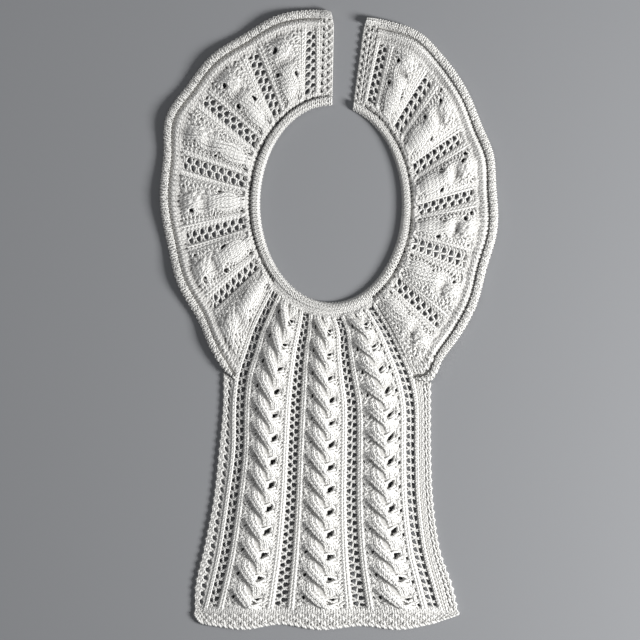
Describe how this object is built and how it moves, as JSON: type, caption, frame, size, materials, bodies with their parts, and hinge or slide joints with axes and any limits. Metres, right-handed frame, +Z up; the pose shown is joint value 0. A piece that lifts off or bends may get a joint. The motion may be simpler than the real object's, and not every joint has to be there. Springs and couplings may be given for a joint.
{
  "type": "jabot collar",
  "caption": "Hand-knitted round collar, open at the back of the neck, with rope cables and eyelet columns fanning out from a corded neck band and running down a long front jabot.",
  "frame": {"origin": "under the middle of the whole collar, on the surface that it lies on", "axes": "+Y along the collar's length from the jabot's hem to the back opening, +Z up out of the face, +X to the right as seen from above"},
  "size_m": [0.2543, 0.4652, 0.0089],
  "materials": {
    "cable_knit": "matte white cotton yarn, cable and eyelet knit",
    "garter_knit": "matte white cotton yarn, garter stitch",
    "corded_yarn": "matte white cotton yarn, corded edge"
  },
  "bodies": {
    "root": {"neck_band": "corded_yarn", "collar_wing_left": "cable_knit", "collar_wing_right": "cable_knit", "outer_edging_left": "corded_yarn", "outer_edging_right": "corded_yarn", "back_border_left": "garter_knit", "back_border_right": "garter_knit", "jabot": "cable_knit", "jabot_border_left": "garter_knit", "jabot_border_right": "garter_knit", "jabot_hem": "garter_knit"}
  },
  "joints": []
}
